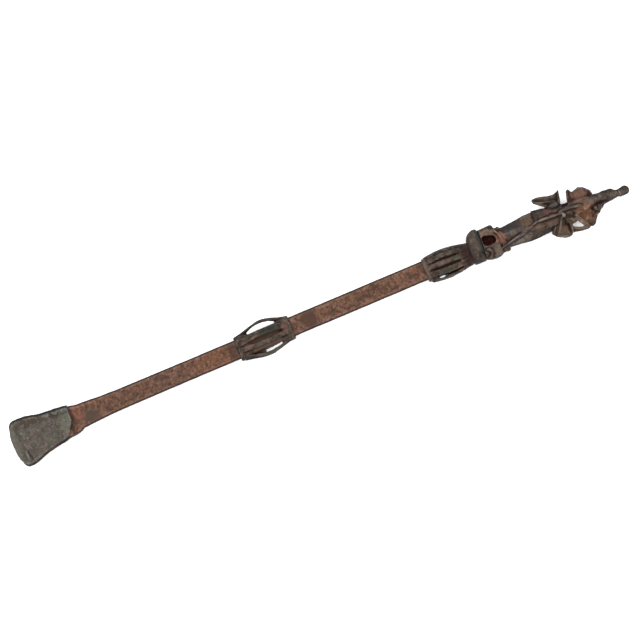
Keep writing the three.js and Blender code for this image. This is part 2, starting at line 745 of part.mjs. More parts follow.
// The four leaves, in plan from the housing's lower end. The first edge of each is the one nearer the foot.
const PETALS = [
  {
    root: [[67.4, 9], [77.2, 8]],
    mouth: [[55.6, 17.8], [54.8, 20.6], [57, 21.8], [63, 21.2], [73.6, 18.2], [80.6, 20.4]],
    rollFirst: 128,
    rollLast: 85,
    rootHeight: -2,
    mouthHeight: -2.5,
    rootDepth: 5,
    mouthDepth: 7.5,
  },
  {
    root: [[84.4, 4], [107.6, 3.4]],
    mouth: [[87.2, 16.4], [89.4, 17.7], [92.3, 12.9], [96, 16.2], [102.2, 14.2], [106.8, 9.2]],
    rollFirst: 112,
    rollLast: 120,
    rootHeight: -2,
    mouthHeight: -2.5,
    rootDepth: 5,
    mouthDepth: 7,
  },
  {
    root: [[66.6, -6], [79.4, -5.2]],
    mouth: [[61.6, -13.2], [61.5, -16.4], [68, -21.2], [73.4, -22.9], [77.4, -22.3], [79, -19.6]],
    rollFirst: 146,
    rollLast: 104,
    rootHeight: -2,
    mouthHeight: -3,
    rootDepth: 6.5,
    mouthDepth: 8,
  },
  {
    root: [[87, -4.8], [113, -6]],
    mouth: [[94, -20.6], [98.6, -22.3], [101.8, -19.8], [104, -15.8], [106.4, -14.2], [110, -10.4]],
    rollFirst: 112,
    rollLast: 140,
    rootHeight: -2,
    mouthHeight: -3,
    rootDepth: 6,
    mouthDepth: 8,
  },
];

// Rod that follows the trunk's upper side, through spots in plan.
function laidRod(spots, radius, lift, stations) {
  return rod(
    spots.map(([x, y]) => [x, y, trunkTop(x, y) + lift]),
    radius,
    stations,
  );
}

const ball = (x, y, z, across, wide, high) =>
  solid(new THREE.SphereGeometry(1, 11, 8).scale(across, wide, high).translate(x, y, z));

// Rods on the trunk, as spots in plan or in space: the seam up its side, the spine that starts on the pad,
// the ridge that carries it on between the leaves, two ribs inside the third leaf,
// the loop that joins the two leaves on the right, the curl at the window.
const SEAM_SPOTS = [[14, -7.8], [23, -6.5], [32, -4.8], [41, -2.6], [51, 0.2]];
const SPINE_SPOTS = [[52.4, 1], [60, 0.8], [68, 0.3], [77.4, -0.3]];
const RIDGE_SPOTS = [[73, 1.6], [79, 1.9], [87, 0.8], [96, -1.2]];
const FIRST_RIB = [[75.4, -1.6, 7.2], [71.6, -8, 7.7], [68, -14, 5.2], [65.6, -17, 3.4]];
const SECOND_RIB = [[77, -3.4, 7.4], [79, -9, 7], [79.8, -14, 5], [79.2, -18.6, 3.4]];
const LEAF_LOOP = [
  [77.6, -18.6, 0.4],
  [82, -19, 0.8],
  [86.4, -20.2, 1],
  [92, -20.8, 0.8],
  [96, -20.6, 0.2],
];
const WINDOW_CURL = [
  [-0.2, -3.6, 9],
  [3, -5.2, 9.4],
  [4.4, -8.4, 9.2],
  [2.6, -11.4, 8.4],
  [-0.4, -12.4, 7.2],
];

// What lies on the trunk or joins its leaves.
function trunkFittings() {
  const seam = laidRod(SEAM_SPOTS, 1.5, -0.3, 12);
  const spine = laidRod(SPINE_SPOTS, 1.6, 0.7, 8);
  const ridge = laidRod(RIDGE_SPOTS, 1.8, 0.5, 8);
  const ribs = [rod(FIRST_RIB, 1.4, 8), rod(SECOND_RIB, 1.3, 8)];
  const pad = wrappedPad({ from: 50.6, to: 64, grow: 1.1 });
  const boss = ball(71.4, 9, 2, 5.8, 4, 5.6);
  const loop = rod(LEAF_LOOP, 2, 8);
  const webs = [ball(86, -7.2, -0.8, 7.4, 4.6, 4), ball(108.6, -7.6, -0.4, 5.6, 3.6, 3.4)];
  return [seam, spine, ridge, ...ribs, pad, boss, loop, ...webs];
}

// Hollows in the trunk between its leaves.
const trunkHollows = () => [
  ball(81.4, 5.6, 7.4, 4.2, 2.2, 6),
  ball(81.6, -6.8, 7.4, 4.4, 4.2, 6),
  ball(64.4, 6.4, 10, 2.4, 1.8, 3),
];

// Head in one piece, hollow at the window and at the socket that takes the upper tang.
function makeHead() {
  const curl = rod(WINDOW_CURL, 1.5, 10);
  return fuse([makeHousing(), wholeTrunk(), curl, ...trunkFittings(), ...PETALS.map(petal)])
    .subtract(fuse([windowHole(), ...trunkHollows()]))
    .translate([HEAD_START, 0, 0])
    .subtract(skin(upperEndRings(FIT_GAP)));
}

const rustedIron = new THREE.MeshStandardMaterial({ color: 0x75563f, roughness: 0.85, metalness: 0.35 });
const darkIron = new THREE.MeshStandardMaterial({ color: 0x584c43, roughness: 0.7, metalness: 0.45 });
const greenGreyIron = new THREE.MeshStandardMaterial({ color: 0x615d55, roughness: 0.75, metalness: 0.4 });

// Named mesh from a solid.
function piece(name, made, material) {
  const { vertProperties, triVerts, numProp } = made.asOriginal().simplify(SURFACE_TOLERANCE).getMesh();
  const positions = new THREE.InterleavedBuffer(vertProperties, numProp);
  const geometry = new THREE.BufferGeometry();
  geometry.setAttribute("position", new THREE.InterleavedBufferAttribute(positions, 3, 0));
  geometry.setIndex(new THREE.BufferAttribute(triVerts, 1));
  const mesh = new THREE.Mesh(geometry, material);
  mesh.name = name;
  return mesh;
}

const staff = new THREE.Group();
staff.add(
  piece("shaft", makeShaft(), rustedIron),
  piece("foot_blade", makeFoot(), greenGreyIron),
  piece("middle_cage", makeMiddleCage(), darkIron),
  piece("upper_cage", makeUpperCage(), darkIron),
  piece("offset_collar", makeCollar(), darkIron),
  piece("head", makeHead(), darkIron),
);

// Origin under the middle of the lying staff, on the table that it rests on.
const extent = new THREE.Box3().setFromObject(staff, true);
const middle = extent.getCenter(new THREE.Vector3());
staff.position.set(-middle.x, -middle.y, -extent.min.z);

const part = new THREE.Group();
part.add(staff);
export default part;
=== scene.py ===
# %% [markdown]
# # A forged iron ceremonial staff
# The staff is a flat bar with a spade-shaped foot, two cages of bowed straps, a thick off-centre collar
# and a head of rolled leaves. The solids arrive as a fixed frame in metres, with the staff lying on the
# table along X. This lesson turns each solid into worn, hammered iron and sets it in soft light.
# Every place on the staff is measured from the frame, in millimetres.

# %% Load the frame
import math

import bpy
import numpy as np
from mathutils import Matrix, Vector


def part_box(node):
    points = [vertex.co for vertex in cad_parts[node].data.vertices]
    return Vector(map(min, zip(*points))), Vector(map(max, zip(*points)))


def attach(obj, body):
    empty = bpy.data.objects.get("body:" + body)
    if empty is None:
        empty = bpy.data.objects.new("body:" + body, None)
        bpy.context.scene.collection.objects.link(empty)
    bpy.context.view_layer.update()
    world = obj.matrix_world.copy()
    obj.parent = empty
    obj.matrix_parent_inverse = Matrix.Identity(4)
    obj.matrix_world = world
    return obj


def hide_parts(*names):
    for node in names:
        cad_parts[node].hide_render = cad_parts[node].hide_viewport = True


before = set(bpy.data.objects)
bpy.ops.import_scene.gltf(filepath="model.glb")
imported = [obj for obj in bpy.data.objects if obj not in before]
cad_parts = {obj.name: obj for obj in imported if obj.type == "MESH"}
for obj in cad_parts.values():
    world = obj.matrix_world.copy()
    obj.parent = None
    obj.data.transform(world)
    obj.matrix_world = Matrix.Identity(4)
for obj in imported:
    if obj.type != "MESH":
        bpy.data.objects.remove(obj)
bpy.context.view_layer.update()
scene = bpy.context.scene
print("frame:", sorted(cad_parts))

# %% [markdown]
# ## Where things are on the staff
# A smith measures along the bar from the foot's edge, then to the left or right of its middle line, then
# up from its middle. The same three numbers in millimetres are used here. The foot's edge and the bar's
# middle line are read from the frame's boxes, so the numbers stay right if the staff is moved. The bar bulges
# a little to its right at the foot, so its box lies that far off its middle line.

# %% Measuring along the staff
MM = 0.001
foot_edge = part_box("foot_blade")[0].x
BAR_BULGE = 0.55
bar_low, bar_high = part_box("shaft")
bar_middle_y = (bar_low.y + bar_high.y) / 2 + BAR_BULGE * MM
bar_middle_z = (bar_low.z + bar_high.z) / 2


def at(along, left=0.0, up=0.0):
    """The point that lies so many millimetres along the staff, to its left and above its middle."""
    return Vector((foot_edge + along * MM, bar_middle_y + left * MM, bar_middle_z + up * MM))


def along_of(x):
    """How many millimetres along the staff an x of the frame lies."""
    return (x - foot_edge) / MM


LOWER_CAGE = [along_of(corner.x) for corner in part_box("middle_cage")]
UPPER_CAGE = [along_of(corner.x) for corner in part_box("upper_cage")]
print("lower cage", LOWER_CAGE, "upper cage", UPPER_CAGE)

# %% [markdown]
# ## Working one piece at a time
# Blender's operators act on whatever is selected, and the frame arrives selected. So every step first lets
# go of everything and then takes up the one piece that it works on.


# %% Taking up a piece
def let_go():
    """Leaves nothing selected."""
    bpy.ops.object.select_all(action="DESELECT")


def take_up(*pieces):
    """Selects only these pieces and makes the first one active."""
    let_go()
    for piece in pieces:
        piece.select_set(True)
    bpy.context.view_layer.objects.active = pieces[0]


def apply_modifier(piece, kind, **settings):
    """Adds one modifier with its settings and applies it at once."""
    take_up(piece)
    modifier = piece.modifiers.new(kind.title(), kind)
    for key, value in settings.items():
        setattr(modifier, key, value)
    bpy.ops.object.modifier_apply(modifier=modifier.name)


let_go()

# %% [markdown]
# ## From solid to forged iron
# Hammered iron has no sharp corner and no perfectly flat face. One way to get that is to sculpt by hand.
# Here a copy of the solid is turned into an even skin of small squares with a voxel remesh, which also
# welds anything forged onto it. Smoothing then rounds the corners as a hammer would, and two displacements
# by cloud textures leave broad hammer marks and fine pits. The textures read the piece's own coordinates,
# so the result is the same each time.


# %% Copy a solid to work on
MERGE_WITHIN = 0.000002  # in metres


def blank_of(node, name):
    """Copies a node's mesh as a new piece, its loose triangles merged into one skin."""
    piece = bpy.data.objects.new(name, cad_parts[node].data.copy())
    scene.collection.objects.link(piece)
    piece.data.materials.clear()
    take_up(piece)
    bpy.ops.mesh.customdata_custom_splitnormals_clear()
    bpy.ops.object.mode_set(mode="EDIT")
    bpy.ops.mesh.select_all(action="SELECT")
    bpy.ops.mesh.remove_doubles(threshold=MERGE_WITHIN)
    bpy.ops.object.mode_set(mode="OBJECT")
    return piece


# %% Hammer marks and pits
SMOOTHING = 0.5


def beat(piece, size, depth):
    """Moves the skin in and out by a cloud texture: lumps of a size, up to a depth, in millimetres."""
    marks = bpy.data.textures.new(f"{piece.name}_clouds_{size}", "CLOUDS")
    marks.noise_scale = size * MM
    apply_modifier(
        piece, "DISPLACE", texture=marks, texture_coords="LOCAL", strength=depth * MM, mid_level=0.5
    )


def forge(piece, grain, rounds, marks):
    """Turns a blank into hammered iron: an even skin, rounded corners, then marks from coarse to fine."""
    apply_modifier(piece, "REMESH", mode="VOXEL", voxel_size=grain * MM, adaptivity=0.0)
    apply_modifier(piece, "SMOOTH", factor=SMOOTHING, iterations=rounds)
    for size, depth in marks:
        beat(piece, size, depth)
    take_up(piece)
    bpy.ops.object.shade_smooth()
    print(f"{piece.name}: {len(piece.data.polygons)} faces")
    return piece


# %% [markdown]
# ## Welding on small forms
# Rims, folds and beads are rods and drops laid on the blank before the remesh. The remesh then welds them on
# with a small fillet, just as a smith's fire does. A rod is a curve through a few spots, made into a mesh. A
# drop is a ball stretched to its size. Both are joined to the piece. A small hole is punched before the
# remesh too, by cutting a drop out of the piece, because thin slits close up when they are remeshed.

# %% Rods
ROD_ROUNDNESS = 2
ROD_ORDER = 4


def weld_rod(piece, spots, thick, flat=1.0):
    """Joins a rod through spots (along, left, up), so many millimetres thick, flattened if asked."""
    curve = bpy.data.curves.new("rod", "CURVE")
    curve.dimensions = "3D"
    curve.bevel_depth = thick / 2 * MM
    curve.bevel_resolution = ROD_ROUNDNESS
    curve.use_fill_caps = True
    line = curve.splines.new("NURBS")
    line.points.add(len(spots) - 1)
    line.use_endpoint_u = True
    line.order_u = min(ROD_ORDER, len(spots))
    middle_up = sum(spot[2] for spot in spots) / len(spots)
    for point, (along, left, up) in zip(line.points, spots):
        point.co = (*at(along, left, middle_up + (up - middle_up) / flat), 1)
    rod = bpy.data.objects.new("rod", curve)
    scene.collection.objects.link(rod)
    take_up(rod)
    bpy.ops.object.convert(target="MESH")
    height = at(0, 0, middle_up).z
    for corner in rod.data.vertices:
        corner.co.z = height + (corner.co.z - height) * flat
    take_up(piece, rod)
    bpy.ops.object.join()


# %% Drops
DROP_ROUNDNESS = 3


def drop_at(spot, size):
    """A drop-shaped solid at a spot, with its size along, across and up in millimetres."""
    bpy.ops.mesh.primitive_ico_sphere_add(subdivisions=DROP_ROUNDNESS, radius=0.5, location=at(*spot))
    drop = bpy.context.object
    drop.scale = Vector(size) * MM
    bpy.ops.object.transform_apply(location=False, rotation=False, scale=True)
    return drop


def weld_drop(piece, spot, size):
    """Joins a drop of iron at a spot."""
    take_up(piece, drop_at(spot, size))
    bpy.ops.object.join()


def punch_drop(piece, spot, size):
    """Takes a drop-shaped piece out at a spot."""
    drop = drop_at(spot, size)
    take_up(piece)
    apply_modifier(piece, "BOOLEAN", operation="DIFFERENCE", object=drop, solver="EXACT")
    bpy.data.objects.remove(drop)


# %% [markdown]
# ## Marking hollows and ridges
# Rust gathers in hollows, and hands rub ridges bare, so the finishes need to know which is which. A ray
# count for each point would be slow. Instead a copy of the skin is smoothed until its detail is gone. Where
# the skin lies below that soft copy it is a hollow, where it lies above it is a ridge, and the difference
# is stored on the mesh for the materials to read. Two more attributes store how steeply the skin falls away
# and how near it is to the staff's left or right outline, where the finishes paint shade along the long edges.


# %% How soft the skin would be
def softened(mesh, points, rounds):
    """The points after so many rounds of drawing each one towards the middle of its neighbours."""
    count = len(points)
    ends = np.empty(len(mesh.edges) * 2, np.int32)
    mesh.edges.foreach_get("vertices", ends)
    first, second = ends.reshape(-1, 2).T
    near = np.maximum(np.bincount(first, minlength=count) + np.bincount(second, minlength=count), 1)
    soft = points.copy()
    for _ in range(rounds):
        for axis in range(3):
            column = soft[:, axis]
            total = np.bincount(first, column[second], count) + np.bincount(second, column[first], count)
            soft[:, axis] = (column + total / near) / 2
    return soft


# %% How near the outline is
def from_outline(points):
    """How far each point lies inside the staff's left or right outline, in millimetres."""
    along, left = points[:, 0], points[:, 1]
    slice_of = ((along - along.min()) / MM).astype(int)
    rightmost = np.full(slice_of.max() + 1, np.inf)
    leftmost = np.full(slice_of.max() + 1, -np.inf)
    np.minimum.at(rightmost, slice_of, left)
    np.maximum.at(leftmost, slice_of, left)
    return np.minimum(left - rightmost[slice_of], leftmost[slice_of] - left) / MM


# %% Hollows, steepness and rims as attributes
HOLLOW_DEPTH = 0.25
CLEARLY = 0.4


def store(mesh, name, values):
    """Stores one number for each point of the mesh under a name."""
    mesh.attributes.new(name, "FLOAT", "POINT").data.foreach_set("value", values.astype(np.float32))


def mark_hollows(piece, rounds, edge=4.0):
    """Stores 'hollow' (1 in one, -1 on a ridge), 'steep' (0 to 1) and 'rim' (1 at the outline, 0 inside)."""
    mesh = piece.data
    points = np.empty(len(mesh.vertices) * 3, np.float32)
    normals = np.empty(len(mesh.vertices) * 3, np.float32)
    mesh.vertices.foreach_get("co", points)
    mesh.vertices.foreach_get("normal", normals)
    points = points.reshape(-1, 3).astype(float)
    normals = normals.reshape(-1, 3)
    sunk = ((softened(mesh, points, rounds) - points) * normals).sum(1) / (HOLLOW_DEPTH * MM)
    store(mesh, "hollow", np.clip(sunk, -1, 1))
    store(mesh, "steep", 1 - np.abs(normals[:, 2]))
    store(mesh, "rim", np.clip(1 - from_outline(points) / edge, 0, 1))
    print(f"{piece.name}: {np.mean(sunk > CLEARLY):.0%} hollow, {np.mean(sunk < -CLEARLY):.0%} ridge")


# %% [markdown]
# ## Shader groups
# The same few effects come back in every finish: mottling, a bloom of rust or patina round one spot, the
# relief of hollows, ridges, sides and rims, and a pitted skin. Each is built once as a node group with named
# inputs, and placed in each material with its own values. The groups give out only masks and heights, and the
# shader stays in the material.


# %% Building a node group
def shader_group(name, inputs, outputs):
    """A node group with named inputs, each with its first value, and named outputs."""
    group = bpy.data.node_groups.new(name, "ShaderNodeTree")
    for label, value in inputs.items():
        kind = "NodeSocketVector" if isinstance(value, tuple) else "NodeSocketFloat"
        group.interface.new_socket(label, in_out="INPUT", socket_type=kind).default_value = value
    for label in outputs:
        group.interface.new_socket(label, in_out="OUTPUT", socket_type="NodeSocketFloat")
    return group, group.nodes.new("NodeGroupInput"), group.nodes.new("NodeGroupOutput")


def put(tree, kind, links=None, **settings):
    """Adds a node, sets its settings, and links or sets its inputs by name or number."""
    node = tree.nodes.new(kind)
    for key, value in settings.items():
        setattr(node, key, value)
    for socket, source in (links or {}).items():
        if isinstance(source, bpy.types.NodeSocket):
            tree.links.new(source, node.inputs[socket])
        else:
            node.inputs[socket].default_value = source
    return node


# %% Mottling
mottle, given, result = shader_group(
    "Mottle", {"Size": 0.006, "Level": 0.5, "Softness": 0.1, "Seed": 0.0, "Stretch": 1.0}, ["Mask"]
)
place = put(mottle, "ShaderNodeTexCoord")
stretched = put(mottle, "ShaderNodeCombineXYZ", {0: given.outputs["Stretch"], 1: 1.0, 2: 1.0})
drawn = put(
    mottle,
    "ShaderNodeVectorMath",
    {0: place.outputs["Object"], 1: stretched.outputs[0]},
    operation="MULTIPLY",
)
moved = put(
    mottle, "ShaderNodeVectorMath", {0: drawn.outputs[0], 1: given.outputs["Seed"]}, operation="ADD"
)
repeats = put(mottle, "ShaderNodeMath", {0: 1.0, 1: given.outputs["Size"]}, operation="DIVIDE")
cloud = put(
    mottle,
    "ShaderNodeTexNoise",
    {"Vector": moved.outputs[0], "Scale": repeats.outputs[0], "Detail": 5.0, "Roughness": 0.62},
)
lowest = put(
    mottle,
    "ShaderNodeMath",
    {0: given.outputs["Level"], 1: given.outputs["Softness"]},
    operation="SUBTRACT",
)
highest = put(
    mottle, "ShaderNodeMath", {0: given.outputs["Level"], 1: given.outputs["Softness"]}, operation="ADD"
)
spread = put(
    mottle,
    "ShaderNodeMapRange",
    {"Value": cloud.outputs["Fac"], "From Min": lowest.outputs[0], "From Max": highest.outputs[0]},
    interpolation_type="SMOOTHSTEP",
)
mottle.links.new(spread.outputs[0], result.inputs["Mask"])

# %% A bloom round one spot
bloom, given, result = shader_group(
    "Bloom", {"Centre": (0.0, 0.0, 0.0), "Reach": (0.01, 0.01, 0.01), "Ragged": 0.3, "Seed": 0.0}, ["Mask"]
)
place = put(bloom, "ShaderNodeTexCoord")
away = put(
    bloom,
    "ShaderNodeVectorMath",
    {0: place.outputs["Object"], 1: given.outputs["Centre"]},
    operation="SUBTRACT",
)
scaled = put(bloom, "ShaderNodeVectorMath", {0: away.outputs[0], 1: given.outputs["Reach"]}, operation="DIVIDE")
distance = put(bloom, "ShaderNodeVectorMath", {0: scaled.outputs[0]}, operation="LENGTH")
shifted = put(
    bloom,
    "ShaderNodeVectorMath",
    {0: place.outputs["Object"], 1: given.outputs["Seed"]},
    operation="ADD",
)
torn = put(bloom, "ShaderNodeTexNoise", {"Vector": shifted.outputs[0], "Scale": 260.0, "Detail": 4.0})
centred = put(bloom, "ShaderNodeMath", {0: torn.outputs["Fac"], 1: 0.5}, operation="SUBTRACT")
tear = put(bloom, "ShaderNodeMath", {0: centred.outputs[0], 1: given.outputs["Ragged"]}, operation="MULTIPLY")
edge = put(
    bloom,
    "ShaderNodeMath",
    {0: tear.outputs[0], 1: 3.0, 2: distance.outputs["Value"]},
    operation="MULTIPLY_ADD",
)
fade = put(
    bloom,
    "ShaderNodeMapRange",
    {"Value": edge.outputs[0], "From Min": 1.15, "From Max": 0.65},
    interpolation_type="SMOOTHSTEP",
)
bloom.links.new(fade.outputs[0], result.inputs["Mask"])

# %% Hollows, ridges, sides and rims as masks
relief, given, result = shader_group("Relief", {"Sharpness": 0.4}, ["Hollow", "Ridge", "Side", "Rim"])
stored = put(relief, "ShaderNodeAttribute", attribute_name="hollow")
hollow_mask = put(
    relief,
    "ShaderNodeMapRange",
    {"Value": stored.outputs["Fac"], "From Min": 0.08, "From Max": given.outputs["Sharpness"]},
    interpolation_type="SMOOTHSTEP",
)
turned = put(relief, "ShaderNodeMath", {0: stored.outputs["Fac"], 1: -1.0}, operation="MULTIPLY")
ridge_mask = put(
    relief,
    "ShaderNodeMapRange",
    {"Value": turned.outputs[0], "From Min": 0.08, "From Max": given.outputs["Sharpness"]},
    interpolation_type="SMOOTHSTEP",
)
steepness = put(relief, "ShaderNodeAttribute", attribute_name="steep")
side_mask = put(
    relief,
    "ShaderNodeMapRange",
    {"Value": steepness.outputs["Fac"], "From Min": 0.06, "From Max": 0.5},
    interpolation_type="SMOOTHSTEP",
)
nearness = put(relief, "ShaderNodeAttribute", attribute_name="rim")
rim_mask = put(
    relief,
    "ShaderNodeMapRange",
    {"Value": nearness.outputs["Fac"], "From Min": 0.45, "From Max": 0.75},
    interpolation_type="SMOOTHSTEP",
)
# The painted shade on sides and rims is eased on upright faces, which would come out too dark when seen from
# the side.
upright = put(
    relief,
    "ShaderNodeMapRange",
    {"Value": steepness.outputs["Fac"], "From Min": 0.72, "From Max": 0.97, "To Min": 1.0, "To Max": 0.4},
)
for mask, name in ((side_mask, "Side"), (rim_mask, "Rim")):
    eased = put(relief, "ShaderNodeMath", {0: mask.outputs[0], 1: upright.outputs[0]}, operation="MULTIPLY")
    relief.links.new(eased.outputs[0], result.inputs[name])
relief.links.new(hollow_mask.outputs[0], result.inputs["Hollow"])
relief.links.new(ridge_mask.outputs[0], result.inputs["Ridge"])

# %% A pitted skin
pits, given, result = shader_group("Pitted skin", {"Grain": 0.0012, "Pits": 0.4}, ["Height"])
place = put(pits, "ShaderNodeTexCoord")
repeats = put(pits, "ShaderNodeMath", {0: 1.0, 1: given.outputs["Grain"]}, operation="DIVIDE")
grain = put(
    pits,
    "ShaderNodeTexNoise",
    {"Vector": place.outputs["Object"], "Scale": repeats.outputs[0], "Detail": 6.0, "Roughness": 0.65},
)
cells = put(
    pits,
    "ShaderNodeTexVoronoi",
    {"Vector": place.outputs["Object"], "Scale": repeats.outputs[0]},
    feature="F1",
)
pit = put(
    pits,
    "ShaderNodeMapRange",
    {"Value": cells.outputs["Distance"], "From Min": 0.05, "From Max": 0.5},
    interpolation_type="SMOOTHSTEP",
)
deep = put(pits, "ShaderNodeMath", {0: pit.outputs[0], 1: given.outputs["Pits"]}, operation="MULTIPLY")
height = put(pits, "ShaderNodeMath", {0: grain.outputs["Fac"], 1: deep.outputs[0]}, operation="ADD")
pits.links.new(height.outputs[0], result.inputs["Height"])
print("groups:", [group.name for group in bpy.data.node_groups])

# %% [markdown]
# ## Layering a finish
# A rusty surface is easiest to think of as coats: a ground colour, then mottling, then blooms of rust or
# patina, then what hollows and ridges do. Each coat is a mask and a colour, mixed over the one before.
# Roughness follows the ridges: rust is dull, and iron rubbed bare shines a little. A finish can hold some
# fifty coats. With sixty-three the head came out black.


# %% Coats of colour
LIT = 2.5  # how many times brighter the studio's light makes a colour
MIX_UNDER, MIX_OVER, MIX_RESULT = 6, 7, 2  # the colour sockets of a mix node


def rgb(red, green, blue):
    """A colour as seen in the picture, 0 to 255, turned into the linear value it has before it is lit."""
    values = [channel / 255 for channel in (red, green, blue)]
    return [(v / 12.92 if v <= 0.04045 else ((v + 0.055) / 1.055) ** 2.4) / LIT for v in values] + [1.0]


def masked(tree, group, output="Mask", **values):
    """Places one of the shader groups with its values and gives the mask that it puts out."""
    node = put(tree, "ShaderNodeGroup", node_tree=group)
    for key, value in values.items():
        node.inputs[key.title()].default_value = value
    return node.outputs[output]


def coat(tree, under, mask, colour, amount=1.0):
    """Mixes a colour over what lies under it, where the mask says."""
    share = put(tree, "ShaderNodeMath", {0: mask, 1: amount}, operation="MULTIPLY")
    mix = put(tree, "ShaderNodeMix", data_type="RGBA")
    tree.links.new(share.outputs[0], mix.inputs[0])
    for socket, value in ((mix.inputs[MIX_UNDER], under), (mix.inputs[MIX_OVER], colour)):
        if isinstance(value, bpy.types.NodeSocket):
            tree.links.new(value, socket)
        else:
            socket.default_value = value
    return mix.outputs[MIX_RESULT]


# %% The finish of forged iron
METAL = 0.45
SHINE = 0.12
GRAIN = 0.0011  # in metres
BUMP = 0.35
BUMP_DEPTH = 0.0004  # in metres
RUB_SHARPNESS = 0.6


def iron_finish(name, ground, coats, dull=0.78, rubbed=0.5):
    """A forged iron material: ground colour, coats of (mask maker, colour, amount), relief and pits."""
    material = bpy.data.materials.new(name)
    material.use_nodes = True
    tree = material.node_tree
    shader = tree.nodes["Principled BSDF"]
    colour = ground
    for make_mask, over, amount in coats:
        colour = coat(tree, colour, make_mask(tree), over, amount)
    tree.links.new(colour, shader.inputs["Base Color"])
    ridge = masked(tree, relief, "Ridge", sharpness=RUB_SHARPNESS)
    rough = put(tree, "ShaderNodeMapRange", {"Value": ridge, "To Min": dull, "To Max": rubbed})
    tree.links.new(rough.outputs[0], shader.inputs["Roughness"])
    shader.inputs["Metallic"].default_value = METAL
    shader.inputs["Specular IOR Level"].default_value = SHINE
    skin = masked(tree, pits, "Height", grain=GRAIN)
    bumped = put(tree, "ShaderNodeBump", {"Height": skin, "Strength": BUMP, "Distance": BUMP_DEPTH})
    tree.links.new(bumped.outputs[0], shader.inputs["Normal"])
    return material


# %% Mask makers
def mottled(size, level, softness, seed, stretch=1.0):
    """Mask maker: mottling with spots of a size in millimetres."""
    values = {"size": size * MM, "level": level, "softness": softness, "seed": seed, "stretch": stretch}
    return lambda tree: masked(tree, mottle, **values)


def bloomed(along, left, up, reach, ragged, seed=0.0):
    """Mask maker: a bloom round a place on the staff, with its reach in millimetres each way."""
    values = {"centre": at(along, left, up), "reach": Vector(reach) * MM, "ragged": ragged, "seed": seed}
    return lambda tree: masked(tree, bloom, **values)


def hollows(sharpness):
    """Mask maker: where the skin is hollow."""
    return lambda tree: masked(tree, relief, "Hollow", sharpness=sharpness)


def ridges(sharpness):
    """Mask maker: where the skin stands proud."""
    return lambda tree: masked(tree, relief, "Ridge", sharpness=sharpness)


def shaded_sides():
    """Mask maker: where the skin falls away steeply, for painted shade."""
    return lambda tree: masked(tree, relief, "Side")


def shaded_rims():
    """Mask maker: along the staff's left and right outline, for painted shade."""
    return lambda tree: masked(tree, relief, "Rim")


def both(one, other):
    """Mask maker: only where two masks meet."""

    def meet(tree):
        return put(tree, "ShaderNodeMath", {0: one(tree), 1: other(tree)}, operation="MULTIPLY").outputs[0]

    return meet


# %% [markdown]
# ## The bar
# The bar is ordinary flat iron with a thick even rust: warm brown with darker and redder mottling, and painted
# shade along both edges. Inside the cages, where nothing rubs it, it is a dull red-brown. It is only beaten
# lightly, so it keeps its straight lines. A flat rod widens the bulge beside the foot. Painted shadow lies
# beside the foot's mouth.

# %% Forging the bar
bar = blank_of("shaft", "bar")
weld_rod(bar, [(51.4, -13.2, 0), (55, -13.4, 0), (59.5, -13, 0), (63.8, -11.4, 0)], 3.4, 2.2)
forge(bar, 0.6, 3, [(9, 0.35), (2.2, 0.22)])
mark_hollows(bar, rounds=30)


def inside(cage):
    """The middle of a cage and half its length, along the staff."""
    return sum(cage) / 2, (cage[1] - cage[0]) / 2


lower_middle, lower_half = inside(LOWER_CAGE)
upper_middle, upper_half = inside(UPPER_CAGE)
print("cages' middles:", lower_middle, upper_middle)

# %% The bar's finish
ALL_ROUND = 90  # reaches past the bar on every side
bar.data.materials.append(
    iron_finish(
        "rusted_bar",
        rgb(131, 96, 77),
        [
            # The rust along the whole bar.
            (mottled(12, 0.5, 0.05, 1.0, 0.6), rgb(101, 76, 64), 0.9),
            (mottled(9, 0.54, 0.08, 2.0, 0.8), rgb(144, 103, 80), 0.7),
            (bloomed(205, 0, 6, (26, 14, 8), 0.6, 4.5), rgb(142, 96, 70), 0.5),
            (bloomed(135, 0, 6, (50, 14, 8), 0.6, 5.5), rgb(112, 87, 73), 0.35),
            (mottled(8, 0.57, 0.04, 9.0), rgb(144, 108, 95), 0.8),
            (mottled(3.6, 0.55, 0.04, 3.0), rgb(84, 60, 50), 0.8),
            (mottled(1.8, 0.56, 0.05, 4.0), rgb(78, 55, 46), 0.6),
            (mottled(2.6, 0.6, 0.04, 8.0), rgb(168, 127, 102), 0.55),
            # Darker and redder where it meets the cages and the foot.
            (bloomed(290, 0.5, 6, (7, 14, 8), 0.3, 5.0), rgb(92, 67, 57), 0.85),
            (bloomed(76, -3, 6, (9, 8, 9), 0.8, 6.0), rgb(90, 76, 65), 0.8),
            (
                both(bloomed(66, 4, 6, (9, 9, 9), 0.9, 7.0), mottled(4, 0.5, 0.06, 7.5)),
                rgb(152, 100, 82),
                0.75,
            ),
            (bloomed(216, 0, 6, (4, 14, 8), 0.3, 10.0), rgb(84, 62, 52), 0.75),
            # Painted shadow: dark lines on the bar beside the foot's mouth.
            (bloomed(59.4, 3, 6, (2.2, 9, 9), 0.3, 10.5), rgb(58, 43, 36), 0.75),
            (bloomed(56.6, -7, 6, (2.2, 6.5, 9), 0.3, 10.7), rgb(58, 43, 36), 0.75),
            # Painted shade along the edges and sides, and the bar's colour where it shows between the straps.
            (shaded_rims(), rgb(52, 37, 32), 0.8),
            (shaded_sides(), rgb(32, 23, 20), 0.9),
            (bloomed(lower_middle, 0, 0, (lower_half, ALL_ROUND, ALL_ROUND), 0.1), rgb(106, 84, 69), 0.8),
            (bloomed(upper_middle, 0, 0, (upper_half, ALL_ROUND, ALL_ROUND), 0.1), rgb(96, 52, 42), 0.85),
        ],
    )
)
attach(bar, "root")
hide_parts("shaft")

# %% [markdown]
# ## The foot
# The foot is a blade drawn out under the hammer and closed round the bar. Its face shows broad shallow
# facets, a lapped fold near one corner, and a grey-green patina over brown. The fold is a drop and a rod, a
# second rod straightens the lower edge, and four beads lie where the blade closes on the bar.

